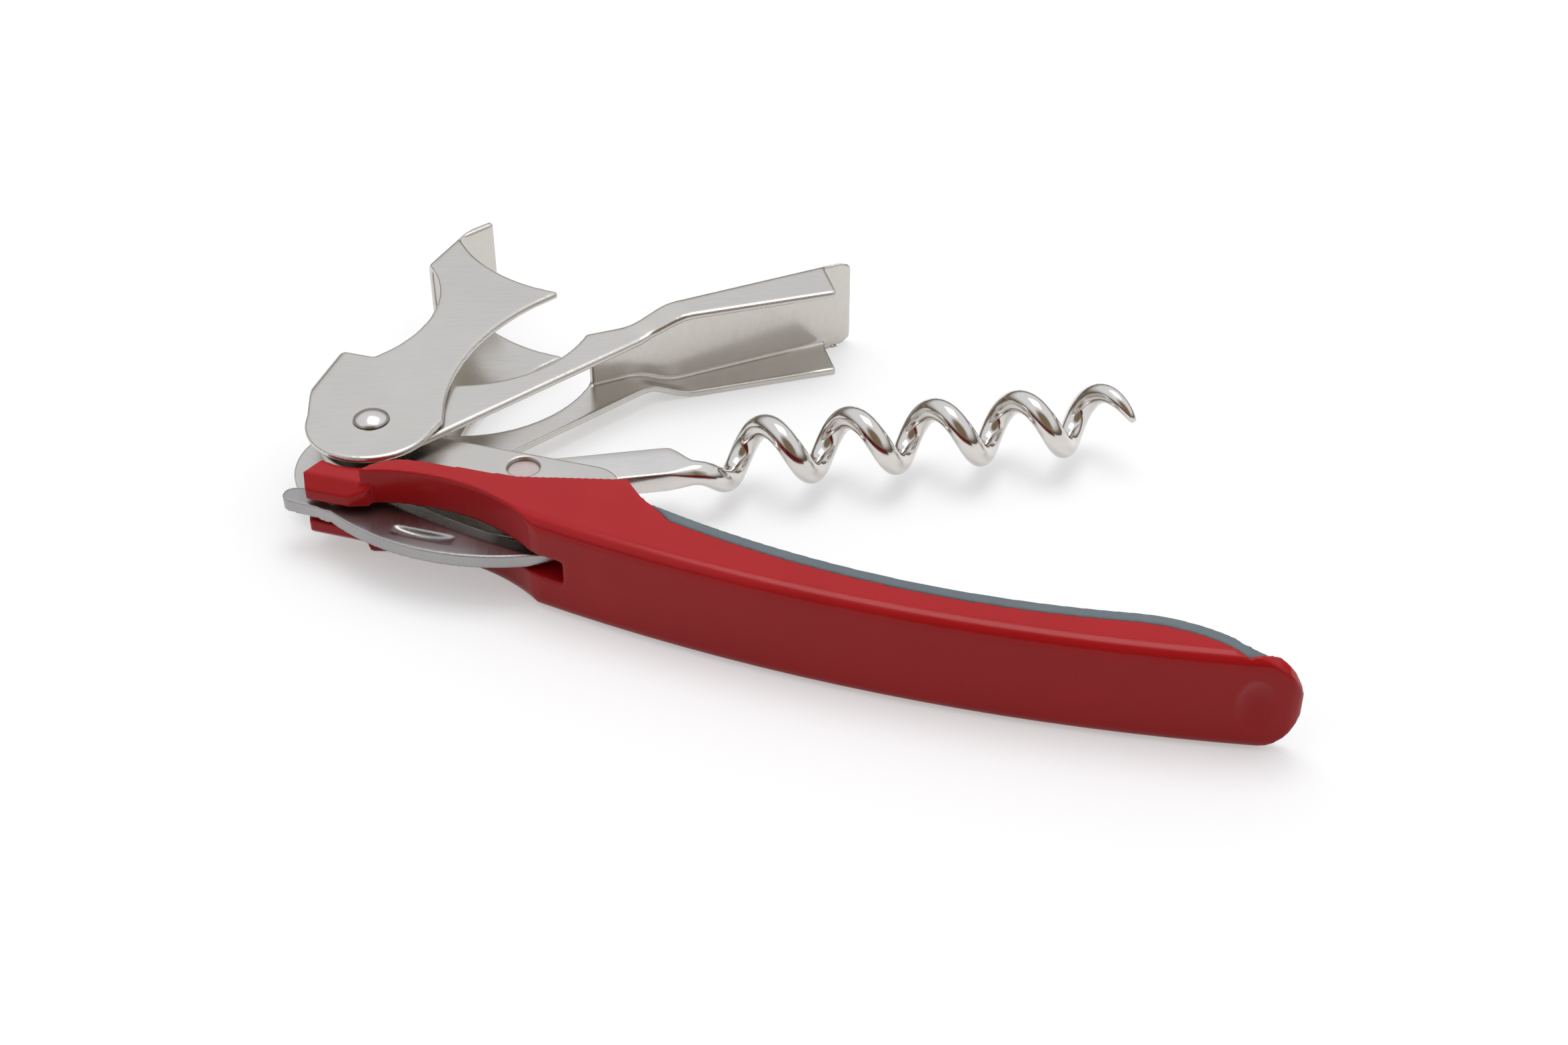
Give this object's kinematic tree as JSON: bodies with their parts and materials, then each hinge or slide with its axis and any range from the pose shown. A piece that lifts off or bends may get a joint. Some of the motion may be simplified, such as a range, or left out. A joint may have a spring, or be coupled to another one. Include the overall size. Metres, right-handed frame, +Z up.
{
  "type": "waiter's corkscrew",
  "caption": "Folding waiter's corkscrew with a curved red handle, soft grey inner strip, foil knife, open worm and stepped lever pair with a cap lifter.",
  "frame": {"origin": "on the side face the corkscrew lies on, at the waist of the handle", "axes": "+X along the handle from the levers to the tail, +Y towards the worm side, +Z up from the face it lies on and along every pivot"},
  "size_m": [0.1186, 0.0658, 0.0124],
  "materials": {
    "red_plastic": "satin",
    "grey_rubber": "matt",
    "plate_steel": "satin",
    "lever_steel": "satin",
    "worm_nickel": "bright",
    "pin_steel": "satin",
    "knife_steel": "satin"
  },
  "bodies": {
    "handle": {"handle_body": "red_plastic", "soft_grip": "grey_rubber", "upper_liner": "plate_steel", "lower_liner": "plate_steel", "lever_rivet": "pin_steel", "rivet_spacer": "pin_steel", "worm_pin": "pin_steel", "knife_pin": "pin_steel"},
    "long_lever": {"long_lever": "lever_steel"},
    "short_lever": {"short_lever": "lever_steel"},
    "worm": {"worm": "worm_nickel"},
    "knife": {"knife": "knife_steel"}
  },
  "joints": [
    {"name": "long_lever_hinge", "type": "hinge", "parent": "handle", "child": "long_lever", "pos_m": [-0.0575, 0.0141, 0.0062], "axis": [0, 0, 1], "range_deg": [-10, 55]},
    {"name": "short_lever_hinge", "type": "hinge", "parent": "long_lever", "child": "short_lever", "pos_m": [-0.0575, 0.0141, 0.0062], "axis": [0, 0, 1], "range_deg": [-38, 5]},
    {"name": "worm_hinge", "type": "hinge", "parent": "handle", "child": "worm", "pos_m": [-0.0389, 0.0142, 0.0062], "axis": [0, 0, 1], "range_deg": [-34, 17]},
    {"name": "knife_hinge", "type": "hinge", "parent": "handle", "child": "knife", "pos_m": [-0.058, 0.0046, 0.0062], "axis": [0, 0, 1], "range_deg": [-160, 0]}
  ]
}
